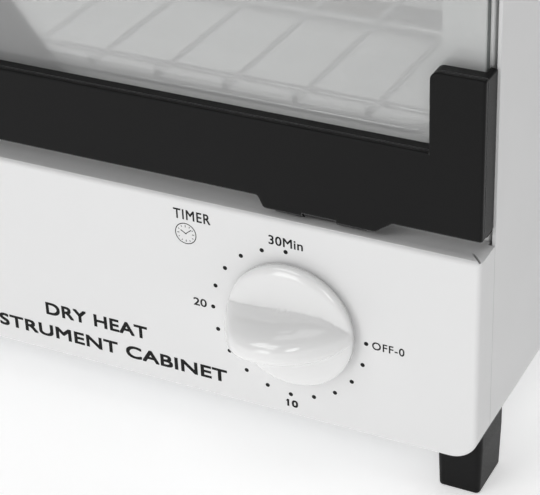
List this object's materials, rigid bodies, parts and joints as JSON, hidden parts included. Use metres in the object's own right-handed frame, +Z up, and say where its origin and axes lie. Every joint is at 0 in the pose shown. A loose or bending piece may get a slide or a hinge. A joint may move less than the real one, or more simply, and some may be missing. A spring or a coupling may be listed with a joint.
{
  "type": "benchtop dry-heat sterilizer",
  "caption": "Small white sheet-steel heat sterilizer on four feet with a drop-down glass door in black rails, a wire rack and a wind-up timer knob.",
  "frame": {"origin": "on the table, under the middle of the object's box", "axes": "+Z up, +X to the object's right as seen from the front, +Y from the door towards the back"},
  "size_m": [0.275, 0.223, 0.222],
  "materials": {
    "white_paint": "satin powder coat, cold white",
    "bright_steel": "bright aluminised sheet",
    "galvanised": "galvanised sheet",
    "black_plastic": "fine matte moulding",
    "white_plastic": "glossy moulding",
    "door_glass": "clear tempered",
    "rack_chrome": "bright plated wire",
    "screw_steel": "zinc plated",
    "spindle_steel": "turned",
    "black_steel": "black phosphate",
    "element_steel": "heat-tinted sheath",
    "ceramic": "unglazed steatite",
    "brass": "tab brass",
    "cream_plastic": "nylon",
    "black_rubber": "moulded",
    "red_sleeve": "silicone sleeve"
  },
  "bodies": {
    "cabinet": {"outer_shell": "white_paint", "front_panel": "white_paint", "front_frame": "bright_steel", "rear_panel": "white_paint", "bottom_plate": "galvanised", "cavity_liner": "bright_steel", "rack_runner_left": "bright_steel", "rack_runner_right": "bright_steel", "foot_front_left": "black_plastic", "foot_front_right": "black_plastic", "foot_rear_left": "black_plastic", "foot_rear_right": "black_plastic", "foot_screws": "screw_steel", "bottom_screws": "screw_steel", "casing_screws": "screw_steel", "hinge_screws": "screw_steel", "timer_screws": "screw_steel", "hinge_tongue_left": "black_steel", "hinge_tongue_right": "black_steel", "heating_elements_upper": "element_steel", "heating_elements_lower": "element_steel", "element_bushes": "ceramic", "element_terminals": "brass", "timer_housing": "galvanised", "timer_mainspring": "spindle_steel", "timer_bell": "rack_chrome", "timer_bell_post": "screw_steel", "timer_tabs": "brass", "thermostat": "ceramic", "thermal_fuse": "brass", "fuse_clip": "galvanised", "terminal_block": "cream_plastic", "earth_stud": "screw_steel", "cord_gland": "black_rubber", "wiring_leads": "red_sleeve"},
    "door": {"door_glass": "door_glass", "door_bottom_rail": "black_plastic", "door_top_rail": "black_plastic", "door_handle": "black_plastic", "handle_screws": "screw_steel", "glass_clamp_bar": "black_steel", "clamp_screws": "screw_steel", "door_buffers": "black_rubber", "hinge_pin_left": "spindle_steel", "hinge_pin_right": "spindle_steel"},
    "rack": {"wire_rack": "rack_chrome"},
    "timer_dial": {"timer_knob": "white_plastic", "timer_shaft": "spindle_steel", "timer_cam": "cream_plastic"}
  },
  "joints": [
    {"name": "door_hinge", "type": "hinge", "parent": "cabinet", "child": "door", "pos_m": [0, -0.0813, 0.0901], "axis": [1, 0, 0], "range_deg": [0, 90]},
    {"name": "rack_slide", "type": "slide", "parent": "cabinet", "child": "rack", "axis": [0, -1, 0], "range_m": [0, 0.045]},
    {"name": "timer_turn", "type": "hinge", "parent": "cabinet", "child": "timer_dial", "pos_m": [0.0776, -0.0915, 0.0522], "axis": [0, 1, 0], "range_deg": [0, 270]}
  ],
  "couplings": [
    {"joint": "rack_slide", "follows": "door_hinge", "m_per_rad": 0.0286}
  ]
}
